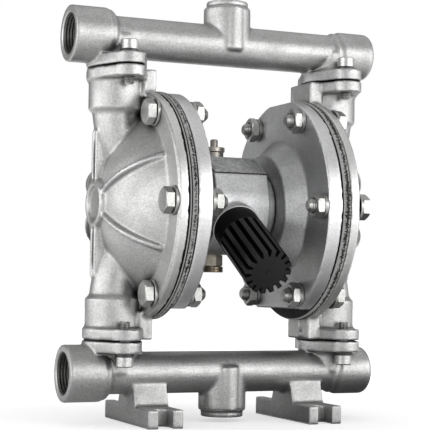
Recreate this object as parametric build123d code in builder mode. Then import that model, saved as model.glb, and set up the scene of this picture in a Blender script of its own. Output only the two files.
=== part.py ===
from build123d import *
import os
from math import cos, radians, sin, sqrt

# Air operated double diaphragm pump, millimetres.
# X runs along the shaft and the manifolds, -Y is the front with the exhaust, +Z is up.
# The origin lies on the floor under the feet, below the middle of the shaft.

# Main planes, counted from the shaft and from the middle plane
shaft_z = 126.0
manifold_rise = 97.0
seam_drop = 19.0
column_x = 69.5

# Manifold castings
tube_r = 12.2
tube_wall = 2.8
port_face_x = 99.0
port_bore_r = 12.06
port_depth = 18.0
collar_r = 16.4
collar_length = 24.0
edge_chamfer = 1.2
blind_face_x = 94.5
blind_r = 14.4
blind_length = 24.0
end_round = 3.6
round_bow = 0.3
boss_r = 14.0
boss_rise = 22.2
boss_groove = 0.8
boss_ring_r = 12.4
boss_ring_height = 3.2
rib_r = 6.5
rib_front = 14.8
rib_tip = 3.6
neck_r = 13.2

# Two-bolt flanges between manifolds and covers
flange_thick = 6.5
flange_r = 17.5
flange_lobe_r = 9.5
flange_screw_y = 21.5
gasket_thick = 0.8
gasket_r = 16.2
screw_hole_clearance = 0.3
tapped_clearance = 0.1
screw_r = 3.0
screw_head_r = 5.0
screw_head_height = 6.0
screw_socket_across = 5.0
screw_socket_depth = 3.0
spring_washer_r = 5.4
spring_washer_thick = 1.6
screw_protrusion = 4.2

# Feet on the inlet manifold
foot_inner_x = 39.6
foot_outer_x = 60.3
foot_half_length = 37.0
foot_thick = 10.6
foot_slot_width = 8.8
foot_slot_depth = 13.0
foot_web_top_y = 10.5
foot_web_base_y = 15.0
foot_web_drop = 4.5

# Chamber stack along X, from the middle plane outwards
body_end_x = 17.0
body_neck_length = 7.0
air_face_x = 35.5
air_rim_thick = 8.7
diaphragm_edge_thick = 5.6
cover_rim_thick = 6.2
disc_r = 66.0
air_top_cut = 1.8
air_bottom_cut = 6.6
bolt_edge = 7.0
chamber_bolt_count = 6
clamp_land = 9.0
diaphragm_proud = 0.4

# Fluid cover dome, boss, ribs and port columns
dome_root_land = 8.0
dome_root_step = 1.2
dome_bulge = 2.2
dome_wall = 4.5
hub_r = 13.9
hub_root_x = 79.5
hub_face_x = 83.0
hub_recess_r = 9.9
hub_recess_depth = 2.0
rib_width = 3.0
rib_height = 2.4
rib_angle = 30.0
casting_overlap = 2.0
fin_width = 2.4
fin_gap = 3.4
fin_x = 82.6
fin_length = 28.0
fin_slope = 4.0
fin_run = 18.0
column_r = 16.0
column_length = 16.5
column_step = 2.6
pipe_r = 13.6
pipe_bore_r = 9.3
elbow_shift = 10.0
elbow_turn = 45.0
elbow_taper = 1.1
elbow_end_rise = 18.6
elbow_stations = (0.0, 0.34, 0.76, 1.0)
elbow_sway = 1.6
valve_bore_r = 12.0
block_half_width = 14.0
block_outer_x = 58.0
block_nib_r = 2.0
block_nib_height = 1.2
block_nib_drop = 3.1
block_root = 3.0

# Air chamber dish
air_hub_r = 32.7
cone_outer_r = 41.0
dish_floor_x = 27.5
dish_floor_r = 32.0
dish_step_r = 39.5
dish_shoulder_x = 39.0
dish_shoulder_r = 46.0

# Centre body, exhaust and label
body_r = 28.0
body_neck_r = 21.0
label_angle = 60.0
label_pad_height = 28.2
label_pad_width = 21.0
label_length = 33.0
label_width = 19.0
label_thick = 0.7
label_corner = 1.0
exhaust_x = -4.4
exhaust_z = 129.5
exhaust_tilt = 30.5
exhaust_boss_r = 12.8
exhaust_boss_end = 30.2
exhaust_ring_thick = 1.2
exhaust_ring_proud = 0.3
exhaust_bore_r = 6.6
exhaust_bore_depth = 11.0
air_port_r = 5.72
air_port_depth = 8.0
air_port_boss_r = 11.0
air_port_face_y = 31.0

# Muffler
muffler_r = 13.6
muffler_length = 51.0
muffler_collar = 12.5
muffler_fins = 16
muffler_fin_width = 2.7
muffler_core_r = 10.0
muffler_stub_length = 9.0
part_gap = 0.15

# Shaft, plates and diaphragm web
shaft_r = 6.0
shaft_running = 0.05
bush_wall = 1.15
bush_length = 12.0
shaft_shoulder_x = 36.5
shaft_thread_r = 4.0
plate_r = 31.0
inner_plate_thick = 4.5
outer_plate_thick = 4.5
plate_round = 1.5
web_root = 2.5
web_thick = 3.0
web_skin = 2.0
shaft_nut_height = 6.5
shaft_protrusion = 1.0
shaft_chamfer = 0.6

# Chamber fasteners
bolt_r = 4.0
bolt_hole_clearance = 0.3
hex_across = 13.0
bolt_head_height = 5.3
washer_r = 8.0
washer_thick = 1.6
nut_washer_r = 7.05
nut_washer_thick = 2.0
chamber_nut_height = 4.8
bolt_protrusion = 3.7
bolt_end_chamfer = 1.2
flat_forward = 30

# Ball valves
ball_r = 9.0
seat_bore_r = 7.0
seat_height = 5.0
seat_gap = 0.15
ball_lift = 4.5
ball_play = 0.3
stop_bar_width = 3.0
stop_bar_height = 3.0
seat_drop = 21.0

# Air valve behind the shaft
valve_x = -1.3
valve_y = 14.0
valve_boss_r = 9.5
valve_top_z = 155.5
valve_bottom_z = 98.4
valve_bore = 6.5
sleeve_end = 1.6
spool_r = 4.0
spool_running = 0.05
spool_length = 38.0
spool_waist_r = 2.6
spool_lands = 3
spool_land_length = 8.0
cap_r = 5.8
cap_height = 4.9
cap_flange_r = 6.5
cap_flange_height = 2.8
cap_stub_r = 6.2
stem_r = 2.3
stem_top_z = 168.2
stem_round = 0.8
stem_bottom_z = 151.0
stem_collar_r = 3.5
stem_collar_height = 1.8
stem_play = 0.1
plug_across = 10.6
plug_height = 7.2
plug_ring_r = 6.4
plug_ring_height = 3.5

# Places worked out from the sizes above
top_axis_z = shaft_z + manifold_rise
bottom_axis_z = shaft_z - manifold_rise
foot_web_top_z = bottom_axis_z - foot_web_drop
seam_rise = manifold_rise - seam_drop
column_floor_rise = seam_rise - seat_drop
neck_end_x = body_end_x + body_neck_length
chamber_bolt_circle_r = disc_r - bolt_edge
clamp_inner_r = chamber_bolt_circle_r - clamp_land
dome_root_r = chamber_bolt_circle_r - dome_root_land
edge_x = air_face_x + air_rim_thick
cover_x = edge_x + diaphragm_edge_thick
bolt_seat_x = cover_x + cover_rim_thick
section = Plane(origin=(0, 0, shaft_z), x_dir=(1, 0, 0), z_dir=(0, -1, 0))
shaft_axis = Axis((0, 0, shaft_z), (1, 0, 0))
mid_plane = Plane(origin=(0, 0, shaft_z), x_dir=(1, 0, 0), z_dir=(0, 0, 1))
bolt_radius_hole = bolt_r + bolt_hole_clearance
tilt = radians(exhaust_tilt)
exhaust_plane = Plane(
    origin=(exhaust_x, 0, exhaust_z), x_dir=(1, 0, 0), z_dir=(0, -cos(tilt), -sin(tilt))
)
label_turn = radians(label_angle)
label_plane = Plane(
    origin=(0, 0, shaft_z), x_dir=(1, 0, 0), z_dir=(0, -cos(label_turn), sin(label_turn))
)


def stack_plane(x):
    return Plane(origin=(x, 0, shaft_z), x_dir=(0, 1, 0), z_dir=(1, 0, 0))


def level_plane(x, y, z):
    return Plane(origin=(x, y, z), x_dir=(1, 0, 0), z_dir=(0, 0, 1))


def outline(*points):
    with BuildLine() as border:
        Polyline(*points, close=True)
    make_face(border.edges())


def save(part, name):
    part.label = name
    export_step(part, f"parts/{name}.step")


def hexagon(across, turn=0):
    RegularPolygon(radius=across / 2, side_count=6, major_radius=False, rotation=turn)


def flange_outline():
    # Round middle with a lobe round each screw, front and back
    reach = flange_screw_y
    turn = (flange_r - flange_lobe_r) / reach
    side = sqrt(1 - turn * turn)
    with BuildLine() as border:
        for sign_x in (-1, 1):
            for sign_y in (-1, 1):
                Line(
                    (sign_x * flange_r * side, sign_y * flange_r * turn),
                    (sign_x * flange_lobe_r * side, sign_y * (reach + flange_lobe_r * turn)),
                )
        for sign in (-1, 1):
            ThreePointArc(
                (sign * flange_r * side, -flange_r * turn),
                (sign * flange_r, 0),
                (sign * flange_r * side, flange_r * turn),
            )
            ThreePointArc(
                (-flange_lobe_r * side, sign * (reach + flange_lobe_r * turn)),
                (0, sign * (reach + flange_lobe_r)),
                (flange_lobe_r * side, sign * (reach + flange_lobe_r * turn)),
            )
    make_face(border.edges())


os.makedirs("parts", exist_ok=True)

# Outlet manifold: a cast tube with a threaded port, a blind end, a middle boss and two flanges
top_section = Plane(origin=(0, 0, top_axis_z), x_dir=(1, 0, 0), z_dir=(0, -1, 0))
top_axis = Axis((0, 0, top_axis_z), (1, 0, 0))
flange_face_z = shaft_z + seam_rise + gasket_thick / 2
collar_end_x = -port_face_x + collar_length
blind_start_x = blind_face_x - blind_length
with BuildPart() as outlet_manifold:
    with BuildSketch(top_section):
        with BuildLine():
            Polyline(
                (-port_face_x, 0),
                (-port_face_x, collar_r - edge_chamfer),
                (-port_face_x + edge_chamfer, collar_r),
                (collar_end_x - end_round, collar_r),
            )
            ThreePointArc(
                (collar_end_x - end_round, collar_r),
                (collar_end_x - round_bow * end_round, collar_r - round_bow * end_round),
                (collar_end_x, tube_r),
            )
            Polyline(
                (collar_end_x, tube_r),
                (blind_start_x, tube_r),
                (blind_start_x + end_round, blind_r),
                (blind_face_x - end_round, blind_r),
            )
            ThreePointArc(
                (blind_face_x - end_round, blind_r),
                (blind_face_x - round_bow * end_round, blind_r - round_bow * end_round),
                (blind_face_x, blind_r - end_round),
            )
            Polyline(
                (blind_face_x, blind_r - end_round), (blind_face_x, 0), (-port_face_x, 0)
            )
        make_face()
    revolve(axis=top_axis)
    with BuildSketch(level_plane(0, 0, top_axis_z)):
        Circle(boss_r)
    extrude(amount=boss_rise)
    with BuildSketch(level_plane(0, 0, top_axis_z + boss_rise)):
        Circle(boss_ring_r - boss_groove)
    extrude(amount=boss_groove)
    with BuildSketch(level_plane(0, 0, top_axis_z + boss_rise + boss_groove)):
        Circle(boss_ring_r)
    extrude(amount=boss_ring_height)
    # Rounded pad down the front of the boss and the tube
    with BuildSketch(level_plane(0, rib_r - rib_front, top_axis_z - rib_tip + rib_r)):
        Circle(rib_r)
    extrude(amount=boss_rise + rib_tip - rib_r)
    with Locations((0, rib_r - rib_front, top_axis_z - rib_tip + rib_r)):
        Sphere(rib_r)
    for side in (-1, 1):
        with BuildSketch(level_plane(side * column_x, 0, flange_face_z)):
            Circle(neck_r)
        extrude(amount=top_axis_z - flange_face_z)
        with BuildSketch(level_plane(side * column_x, 0, flange_face_z)):
            flange_outline()
        extrude(amount=flange_thick)
    # Waterway
    with BuildSketch(top_section):
        outline(
            (-port_face_x, 0),
            (-port_face_x, port_bore_r + edge_chamfer),
            (-port_face_x + edge_chamfer, port_bore_r),
            (-port_face_x + port_depth, port_bore_r),
            (-port_face_x + port_depth, tube_r - tube_wall),
            (blind_face_x - port_depth / 2, tube_r - tube_wall),
            (blind_face_x - port_depth / 2, 0),
        )
    revolve(axis=top_axis, mode=Mode.SUBTRACT)
    ball_top_z = shaft_z + column_floor_rise + seat_height + ball_r
    ball_top_z += sqrt(ball_r * ball_r - seat_bore_r * seat_bore_r)
    stop_z = ball_top_z + ball_lift + ball_play
    for side in (-1, 1):
        with BuildSketch(level_plane(side * column_x, 0, flange_face_z)):
            Circle(neck_r - tube_wall)
        extrude(amount=top_axis_z - flange_face_z, mode=Mode.SUBTRACT)
        with BuildSketch(level_plane(side * column_x, 0, stop_z)):
            Rectangle(2 * neck_r - tube_wall, stop_bar_width)
        extrude(amount=stop_bar_height)
        with BuildSketch(level_plane(side * column_x, 0, flange_face_z)):
            with GridLocations(0, 2 * flange_screw_y, 1, 2):
                Circle(screw_r + screw_hole_clearance)
        extrude(amount=flange_thick, mode=Mode.SUBTRACT)
save(outlet_manifold.part, "outlet_manifold")

# Inlet manifold: the same casting turned over, without ball stops, on two slotted feet
bottom_section = Plane(origin=(0, 0, bottom_axis_z), x_dir=(1, 0, 0), z_dir=(0, -1, 0))
with BuildPart() as inlet_manifold:
    mirror(outlet_manifold.part, about=mid_plane)
    for side in (-1, 1):
        with BuildSketch(level_plane(side * column_x, 0, bottom_axis_z)):
            Circle(neck_r - tube_wall)
        extrude(amount=manifold_rise - seam_rise - gasket_thick / 2, mode=Mode.SUBTRACT)
    foot_profile = (
        (-foot_half_length, 0),
        (-foot_half_length, foot_thick),
        (-foot_web_base_y, foot_thick),
        (-foot_web_top_y, foot_web_top_z),
        (foot_web_top_y, foot_web_top_z),
        (foot_web_base_y, foot_thick),
        (foot_half_length, foot_thick),
        (foot_half_length, 0),
    )
    foot_x = (foot_inner_x + foot_outer_x) / 2
    foot_width = foot_outer_x - foot_inner_x
    for side in (-1, 1):
        foot_plane = Plane(
            origin=(side * foot_x - foot_width / 2, 0, 0), x_dir=(0, 1, 0), z_dir=(1, 0, 0)
        )
        with BuildSketch(foot_plane):
            outline(*foot_profile)
        extrude(amount=foot_width)
        slot_overall = foot_slot_depth + foot_slot_width
        for end in (-1, 1):
            slot_y = end * (foot_half_length - foot_slot_depth + slot_overall / 2)
            with BuildSketch(level_plane(side * foot_x, slot_y, 0)):
                SlotOverall(slot_overall, foot_slot_width, rotation=90)
            extrude(amount=foot_thick, mode=Mode.SUBTRACT)
    with BuildSketch(bottom_section):
        outline(
            (-port_face_x + port_depth, 0),
            (-port_face_x + port_depth, tube_r - tube_wall),
            (blind_face_x - port_depth / 2, tube_r - tube_wall),
            (blind_face_x - port_depth / 2, 0),
        )
    revolve(axis=Axis((0, 0, bottom_axis_z), (1, 0, 0)), mode=Mode.SUBTRACT)
save(inlet_manifold.part, "inlet_manifold")

# Right fluid cover: a ribbed dome with a middle boss and a port column above and below
dome_root_x = bolt_seat_x + dome_root_step
dome_mid_x = (dome_root_x + hub_root_x) / 2
dome_mid_r = (dome_root_r + hub_r + dome_wall) / 2
flange_back = seam_rise - gasket_thick / 2
column_base = flange_back - flange_thick - column_length
elbow_start_rise = column_base - column_step
pipe_wall = pipe_r - pipe_bore_r


def pipe_sections(side, inset):
    # Round sections down the elbow, each turned further towards the dome
    sections = []
    for station in elbow_stations:
        sway = station**elbow_sway
        angle = radians(elbow_turn * sway)
        rise = elbow_start_rise - station * (elbow_start_rise - elbow_end_rise)
        plane = Plane(
            origin=(column_x - elbow_shift * sway, 0, shaft_z + side * rise),
            x_dir=(0, 1, 0),
            z_dir=(-sin(angle), 0, -side * cos(angle)),
        )
        with BuildSketch(plane) as ring:
            Circle(pipe_r - elbow_taper * station - inset)
        sections.append(ring.sketch)
    return sections


with BuildPart() as fluid_cover_right:
    with BuildSketch(section):
        with BuildLine():
            Polyline(
                (cover_x, 0),
                (cover_x, disc_r),
                (bolt_seat_x - edge_chamfer, disc_r),
                (bolt_seat_x, disc_r - edge_chamfer),
                (bolt_seat_x, dome_root_r + dome_root_step),
                (dome_root_x, dome_root_r),
            )
            ThreePointArc(
                (dome_root_x, dome_root_r),
                (dome_mid_x + dome_bulge, dome_mid_r + dome_bulge),
                (hub_root_x, hub_r + dome_root_step),
            )
            Polyline(
                (hub_root_x, hub_r + dome_root_step),
                (hub_root_x + dome_root_step, hub_r),
                (hub_face_x - edge_chamfer, hub_r),
                (hub_face_x, hub_r - edge_chamfer),
                (hub_face_x, 0),
                (cover_x, 0),
            )
        make_face()
    revolve(axis=shaft_axis)
    # Curved ridges from the boss to the rim, above and below each side bolt
    for turn in (rib_angle, -rib_angle, 180 - rib_angle, 180 + rib_angle):
        angle = radians(turn)
        rib_plane = Plane(
            origin=(0, 0, shaft_z), x_dir=(1, 0, 0), z_dir=(0, -sin(angle), cos(angle))
        )
        with BuildSketch(rib_plane):
            with BuildLine():
                ThreePointArc(
                    (dome_root_x + rib_height / 2, dome_root_r + rib_height / 2),
                    (
                        dome_mid_x + dome_bulge + rib_height,
                        dome_mid_r + dome_bulge + rib_height,
                    ),
                    (hub_root_x + rib_height, hub_r - casting_overlap),
                )
                Polyline(
                    (hub_root_x + rib_height, hub_r - casting_overlap),
                    (hub_root_x - dome_wall, hub_r - casting_overlap),
                    (bolt_seat_x - casting_overlap, dome_root_r - dome_wall),
                    (bolt_seat_x - casting_overlap, dome_root_r + rib_height / 2),
                    (dome_root_x + rib_height / 2, dome_root_r + rib_height / 2),
                )
            make_face()
        extrude(amount=rib_width / 2, both=True)
    for side in (-1, 1):
        with BuildSketch(level_plane(column_x, 0, shaft_z + side * flange_back)):
            flange_outline()
        extrude(amount=-side * flange_thick)
        with BuildSketch(level_plane(column_x, 0, shaft_z + side * flange_back)):
            Circle(column_r)
        extrude(amount=-side * (flange_thick + column_length))
        with BuildSketch(level_plane(column_x, 0, shaft_z + side * column_base)):
            Circle(column_r)
        with BuildSketch(
            level_plane(column_x, 0, shaft_z + side * (column_base - column_step))
        ):
            Circle(pipe_r)
        loft()
        loft(pipe_sections(side, 0))
        # Web between the rim and the flange
        block_base = sqrt(disc_r * disc_r - block_half_width * block_half_width) - block_root
        with BuildSketch(level_plane(0, 0, shaft_z + side * block_base)):
            with Locations(((cover_x + block_outer_x) / 2, 0)):
                Rectangle(block_outer_x - cover_x, 2 * block_half_width)
        extrude(amount=side * (flange_back - block_base))
        # Pair of fins between the boss and the pipe
        fin_top_rise = hub_r + fin_length
        for fin_side in (-1, 1):
            fin_y = fin_side * (fin_gap + fin_width) / 2
            fin_plane = Plane(
                origin=(0, fin_y, shaft_z), x_dir=(1, 0, 0), z_dir=(0, -1, 0)
            )
            with BuildSketch(fin_plane):
                outline(
                    (hub_root_x - dome_wall, side * (hub_r - casting_overlap)),
                    (fin_x, side * (hub_r - casting_overlap)),
                    (fin_x, side * fin_top_rise),
                    (fin_x - elbow_shift + fin_slope, side * (fin_top_rise + fin_slope)),
                    (fin_x - fin_run - elbow_shift, side * (fin_top_rise - fin_run / 2)),
                )
            extrude(amount=fin_width / 2, both=True)
    with BuildSketch(stack_plane(cover_x)):
        with Locations((-block_half_width / 3, block_nib_drop - flange_back)):
            Circle(block_nib_r)
    extrude(amount=-block_nib_height)
    # Waterway and valve chambers
    with BuildSketch(section):
        with BuildLine():
            Polyline(
                (cover_x, 0), (cover_x, clamp_inner_r), (dome_root_x, dome_root_r - dome_wall)
            )
            ThreePointArc(
                (dome_root_x, dome_root_r - dome_wall),
                (
                    dome_mid_x + dome_bulge - dome_wall,
                    dome_mid_r + dome_bulge - dome_wall,
                ),
                (hub_root_x - dome_wall, hub_r),
            )
            Polyline(
                (hub_root_x - dome_wall, hub_r), (hub_root_x - dome_wall, 0), (cover_x, 0)
            )
        make_face()
    revolve(axis=shaft_axis, mode=Mode.SUBTRACT)
    for side in (-1, 1):
        loft(pipe_sections(side, pipe_wall), mode=Mode.SUBTRACT)
        with BuildSketch(level_plane(column_x, 0, shaft_z + side * (column_base - column_step))):
            Circle(pipe_bore_r)
        extrude(amount=side * (flange_back - column_base + column_step), mode=Mode.SUBTRACT)
        with BuildSketch(level_plane(column_x, 0, shaft_z + side * flange_back)):
            with GridLocations(0, 2 * flange_screw_y, 1, 2):
                Circle(screw_r + tapped_clearance)
        extrude(amount=-side * flange_thick, mode=Mode.SUBTRACT)
    with BuildSketch(level_plane(column_x, 0, shaft_z + column_floor_rise)):
        Circle(valve_bore_r)
    extrude(amount=flange_back - column_floor_rise, mode=Mode.SUBTRACT)
    inlet_seat_z = shaft_z - flange_back
    inlet_ball_z = inlet_seat_z + seat_height
    inlet_ball_z += sqrt(ball_r * ball_r - seat_bore_r * seat_bore_r)
    inlet_stop_z = inlet_ball_z + ball_r + ball_lift + ball_play
    with BuildSketch(level_plane(column_x, 0, inlet_seat_z)):
        Circle(valve_bore_r)
    extrude(amount=inlet_stop_z - inlet_seat_z, mode=Mode.SUBTRACT)
    with BuildSketch(level_plane(column_x, 0, inlet_stop_z)):
        Rectangle(2 * pipe_r - pipe_wall, stop_bar_width)
    extrude(amount=stop_bar_height)
    with BuildSketch(stack_plane(hub_face_x)):
        Circle(hub_recess_r)
    extrude(amount=-hub_recess_depth, mode=Mode.SUBTRACT)
    with BuildSketch(stack_plane(cover_x)):
        with PolarLocations(chamber_bolt_circle_r, chamber_bolt_count):
            Circle(bolt_radius_hole)
    extrude(amount=cover_rim_thick + dome_root_step, mode=Mode.SUBTRACT)
    # Round seat for each bolt head and washer
    with BuildSketch(stack_plane(bolt_seat_x)):
        with PolarLocations(chamber_bolt_circle_r, chamber_bolt_count):
            Circle(washer_r + part_gap)
    extrude(amount=washer_thick + bolt_head_height, mode=Mode.SUBTRACT)
save(fluid_cover_right.part, "fluid_cover_right")

with BuildPart() as fluid_cover_left:
    mirror(fluid_cover_right.part, about=Plane.YZ)
save(fluid_cover_left.part, "fluid_cover_left")

# Right air chamber: a flat-sided disc with a stepped hub towards the middle
with BuildPart() as air_chamber_right:
    with BuildSketch(section):
        outline(
            (neck_end_x, 0),
            (neck_end_x, air_hub_r),
            (air_face_x, cone_outer_r),
            (air_face_x, disc_r - edge_chamfer / 2),
            (air_face_x + edge_chamfer / 2, disc_r),
            (edge_x, disc_r),
            (edge_x, 0),
        )
    revolve(axis=shaft_axis)
    for side, cut in ((1, air_top_cut), (-1, air_bottom_cut)):
        with BuildSketch(level_plane(0, 0, shaft_z + side * (disc_r - cut))):
            Rectangle(4 * disc_r, 4 * disc_r)
        extrude(amount=side * disc_r, mode=Mode.SUBTRACT)
    with BuildSketch(section):
        outline(
            (edge_x, 0),
            (edge_x, clamp_inner_r),
            (dish_shoulder_x, dish_shoulder_r),
            (dish_shoulder_x, dish_step_r),
            (dish_floor_x, dish_floor_r),
            (dish_floor_x, 0),
        )
    revolve(axis=shaft_axis, mode=Mode.SUBTRACT)
    with BuildSketch(stack_plane(neck_end_x)):
        Circle(shaft_r + 2 * part_gap)
    extrude(amount=dish_floor_x - neck_end_x, mode=Mode.SUBTRACT)
    with BuildSketch(stack_plane(air_face_x)):
        with PolarLocations(chamber_bolt_circle_r, chamber_bolt_count):
            Circle(bolt_radius_hole)
    extrude(amount=air_rim_thick, mode=Mode.SUBTRACT)
save(air_chamber_right.part, "air_chamber_right")

with BuildPart() as air_chamber_left:
    mirror(air_chamber_right.part, about=Plane.YZ)
save(air_chamber_left.part, "air_chamber_left")

# Centre body: a round block with a sloped label pad, the exhaust boss and the air inlet boss
bush_r = shaft_r + shaft_running + bush_wall
with BuildPart() as center_body:
    with BuildSketch(stack_plane(-body_end_x)):
        Circle(body_r)
    extrude(amount=2 * body_end_x)
    with BuildSketch(stack_plane(-neck_end_x)):
        Circle(body_neck_r)
    extrude(amount=2 * neck_end_x)
    with BuildSketch(label_plane):
        Rectangle(2 * body_end_x, label_pad_width)
    extrude(amount=label_pad_height)
    with BuildSketch(exhaust_plane):
        Circle(exhaust_boss_r)
    extrude(amount=exhaust_boss_end)
    with BuildSketch(level_plane(valve_x, valve_y, valve_bottom_z)):
        Circle(valve_boss_r)
    extrude(amount=valve_top_z - valve_bottom_z)
    air_plane = Plane(origin=(0, air_port_face_y, shaft_z), x_dir=(1, 0, 0), z_dir=(0, -1, 0))
    with BuildSketch(air_plane):
        Circle(air_port_boss_r)
    extrude(amount=air_port_face_y - valve_y)
    with BuildSketch(air_plane):
        Circle(air_port_r)
    extrude(amount=air_port_depth, mode=Mode.SUBTRACT)
    with BuildSketch(stack_plane(-neck_end_x)):
        Circle(bush_r + part_gap)
    extrude(amount=2 * neck_end_x, mode=Mode.SUBTRACT)
    with BuildSketch(level_plane(valve_x, valve_y, valve_bottom_z)):
        Circle(valve_bore)
    extrude(amount=valve_top_z - valve_bottom_z, mode=Mode.SUBTRACT)
    with BuildSketch(exhaust_plane.offset(exhaust_boss_end)):
        Circle(exhaust_bore_r)
    extrude(amount=-exhaust_bore_depth, mode=Mode.SUBTRACT)
save(center_body.part, "center_body")

with BuildPart() as label_plate:
    with BuildSketch(label_plane.offset(label_pad_height)):
        RectangleRounded(label_length, label_width, label_corner)
    extrude(amount=label_thick)
save(label_plate.part, "label_plate")

with BuildPart() as exhaust_ring:
    with BuildSketch(exhaust_plane.offset(exhaust_boss_end)):
        Circle(exhaust_boss_r + exhaust_ring_proud)
        Circle(exhaust_bore_r, mode=Mode.SUBTRACT)
    extrude(amount=exhaust_ring_thick)
save(exhaust_ring.part, "exhaust_ring")

# Muffler: a smooth collar, then deep fins round a core, closed by a plate of the same outline
collar_start = exhaust_boss_end + exhaust_ring_thick
fin_start = collar_start + muffler_collar
with BuildPart() as exhaust_muffler:
    with BuildSketch(exhaust_plane.offset(collar_start)):
        Circle(muffler_r)
    extrude(amount=muffler_collar)
    with BuildSketch(exhaust_plane.offset(fin_start)):
        Circle(muffler_core_r)
        with PolarLocations((muffler_r + muffler_core_r / 2) / 2, muffler_fins):
            Rectangle(muffler_r - muffler_core_r / 2, muffler_fin_width)
        Circle(muffler_r, mode=Mode.INTERSECT)
    extrude(amount=muffler_length - muffler_collar)
    with BuildSketch(exhaust_plane.offset(collar_start)):
        Circle(exhaust_bore_r - part_gap)
    extrude(amount=-muffler_stub_length)
save(exhaust_muffler.part, "exhaust_muffler")

# Diaphragm: a clamped edge with bolt holes and a web that the plates carry
with BuildPart() as diaphragm_edge_right:
    with BuildSketch(stack_plane(edge_x)):
        Circle(disc_r + diaphragm_proud)
        Circle(clamp_inner_r, mode=Mode.SUBTRACT)
        with PolarLocations(chamber_bolt_circle_r, chamber_bolt_count):
            Circle(bolt_radius_hole, mode=Mode.SUBTRACT)
    extrude(amount=diaphragm_edge_thick)
save(diaphragm_edge_right.part, "diaphragm_edge_right")

with BuildPart() as diaphragm_edge_left:
    mirror(diaphragm_edge_right.part, about=Plane.YZ)
save(diaphragm_edge_left.part, "diaphragm_edge_left")

web_mid_x = edge_x + diaphragm_edge_thick / 2
with BuildPart() as diaphragm_web_right:
    with BuildSketch(section):
        outline(
            (shaft_shoulder_x, shaft_thread_r + part_gap),
            (shaft_shoulder_x + web_thick, shaft_thread_r + part_gap),
            (shaft_shoulder_x + web_thick, plate_r + web_root),
            (web_mid_x + web_skin / 2, clamp_inner_r),
            (web_mid_x - web_skin / 2, clamp_inner_r),
            (shaft_shoulder_x, plate_r + web_root),
        )
    revolve(axis=shaft_axis)
save(diaphragm_web_right.part, "diaphragm_web_right")

with BuildPart() as diaphragm_web_left:
    mirror(diaphragm_web_right.part, about=Plane.YZ)
save(diaphragm_web_left.part, "diaphragm_web_left")

# Shaft with a reduced end at each side, its clamp plates and end nuts
outer_plate_x = shaft_shoulder_x + web_thick
nut_x = outer_plate_x + outer_plate_thick
with BuildPart() as diaphragm_shaft:
    shaft_end_x = shaft_shoulder_x - inner_plate_thick
    with BuildSketch(stack_plane(-shaft_end_x)):
        Circle(shaft_r)
    extrude(amount=2 * shaft_end_x)
    shaft_tip_x = nut_x + shaft_nut_height + shaft_protrusion
    with BuildSketch(stack_plane(-shaft_tip_x)):
        Circle(shaft_thread_r)
    extrude(amount=2 * shaft_tip_x)
    chamfer(faces().group_by(Axis.X)[-1].edges(), shaft_chamfer)
    chamfer(faces().group_by(Axis.X)[0].edges(), shaft_chamfer)
save(diaphragm_shaft.part, "diaphragm_shaft")


def clamp_plate(start_x, thick, round_face):
    with BuildSketch(stack_plane(start_x)) as disc:
        Circle(plate_r)
        Circle(shaft_thread_r + part_gap, mode=Mode.SUBTRACT)
    extrude(disc.sketch, amount=thick)
    rim = edges().filter_by(GeomType.CIRCLE).group_by(Axis.X)[round_face]
    fillet(rim.sort_by(SortBy.LENGTH)[-1], plate_round)


with BuildPart() as inner_plate_right:
    clamp_plate(shaft_shoulder_x - inner_plate_thick, inner_plate_thick, 0)
save(inner_plate_right.part, "inner_plate_right")

with BuildPart() as inner_plate_left:
    mirror(inner_plate_right.part, about=Plane.YZ)
save(inner_plate_left.part, "inner_plate_left")

with BuildPart() as outer_plate_right:
    clamp_plate(outer_plate_x, outer_plate_thick, -1)
save(outer_plate_right.part, "outer_plate_right")

with BuildPart() as outer_plate_left:
    mirror(outer_plate_right.part, about=Plane.YZ)
save(outer_plate_left.part, "outer_plate_left")

with BuildPart() as shaft_nuts:
    with BuildSketch(stack_plane(nut_x)):
        hexagon(hex_across)
        Circle(shaft_thread_r + part_gap, mode=Mode.SUBTRACT)
    extrude(amount=shaft_nut_height)
    mirror(about=Plane.YZ)
save(shaft_nuts.part, "shaft_nuts")

with BuildPart() as shaft_bushes:
    with BuildSketch(stack_plane(neck_end_x)):
        Circle(bush_r)
        Circle(shaft_r + shaft_running, mode=Mode.SUBTRACT)
    extrude(amount=-bush_length)
    mirror(about=Plane.YZ)
save(shaft_bushes.part, "shaft_bushes")

# Chamber fasteners: six bolts a side with a washer under each head and each nut
nut_seat_x = air_face_x - nut_washer_thick
head_x = bolt_seat_x + washer_thick
bolt_end_x = nut_seat_x - chamber_nut_height - bolt_protrusion


def bolt_ring():
    return PolarLocations(chamber_bolt_circle_r, chamber_bolt_count)


with BuildPart() as chamber_bolts:
    with BuildSketch(stack_plane(bolt_end_x)):
        with bolt_ring():
            Circle(bolt_r)
    extrude(amount=head_x - bolt_end_x)
    chamfer(faces().group_by(Axis.X)[0].edges(), bolt_end_chamfer)
    with BuildSketch(stack_plane(head_x)):
        with bolt_ring():
            hexagon(hex_across, flat_forward)
    extrude(amount=bolt_head_height)
    mirror(about=Plane.YZ)
save(chamber_bolts.part, "chamber_bolts")

with BuildPart() as chamber_head_washers:
    with BuildSketch(stack_plane(bolt_seat_x)):
        with bolt_ring():
            Circle(washer_r)
            Circle(bolt_r + part_gap, mode=Mode.SUBTRACT)
    extrude(amount=washer_thick)
    mirror(about=Plane.YZ)
save(chamber_head_washers.part, "chamber_head_washers")

with BuildPart() as chamber_nut_washers:
    with BuildSketch(stack_plane(nut_seat_x)):
        with bolt_ring():
            Circle(nut_washer_r)
            Circle(bolt_r + part_gap, mode=Mode.SUBTRACT)
    extrude(amount=nut_washer_thick)
    mirror(about=Plane.YZ)
save(chamber_nut_washers.part, "chamber_nut_washers")

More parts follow.
